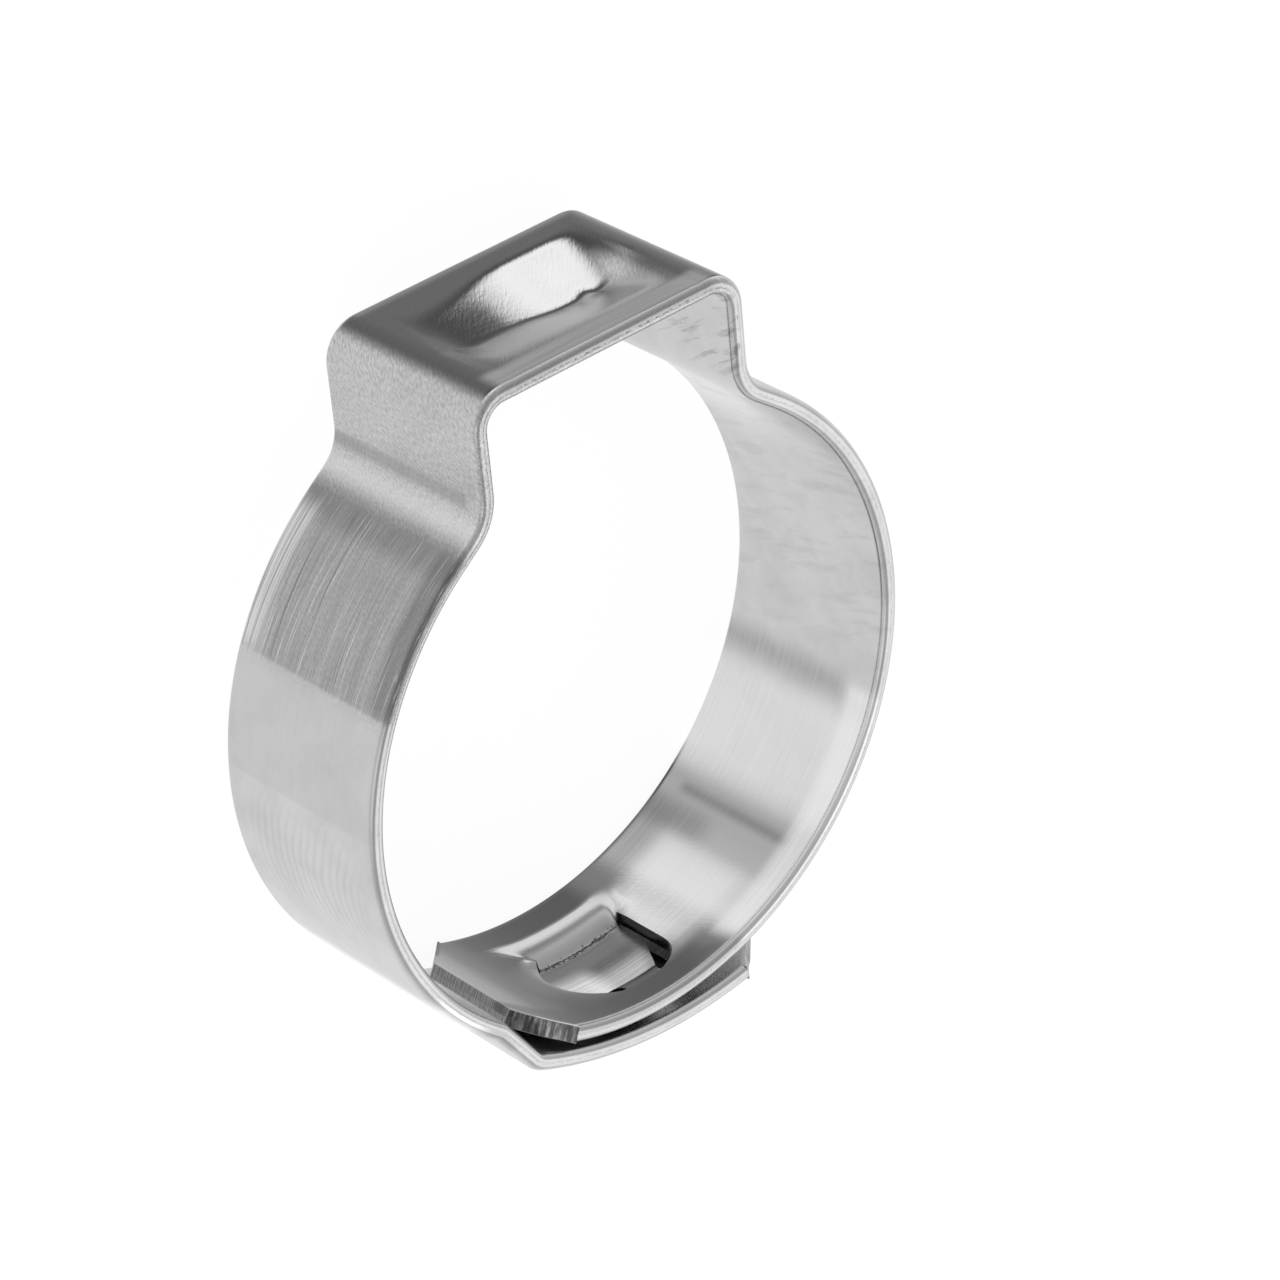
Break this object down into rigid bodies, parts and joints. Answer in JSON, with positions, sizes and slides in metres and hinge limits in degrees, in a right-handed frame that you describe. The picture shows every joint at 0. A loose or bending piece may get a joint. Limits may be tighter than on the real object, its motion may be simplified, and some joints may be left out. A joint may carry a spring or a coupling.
{
  "type": "ear hose clamp",
  "caption": "Bent strip ring clamp with one raised crimp ear, a pressed dimple in the ear and overlapping ends locked by a lanced bridge.",
  "frame": {"origin": "on the bore's axis, in the plane of the rim that the clamp lies on", "axes": "+Z along the bore's axis, up through the ring; +Y from the bore's axis to the crimp ear; the lapped ends are at -Y"},
  "size_m": [0.0222, 0.0268, 0.007],
  "materials": {
    "stainless_strip": "cold-rolled stainless strip, satin bright with handling marks"
  },
  "bodies": {
    "root": {"clamp_band": "stainless_strip"}
  },
  "joints": []
}
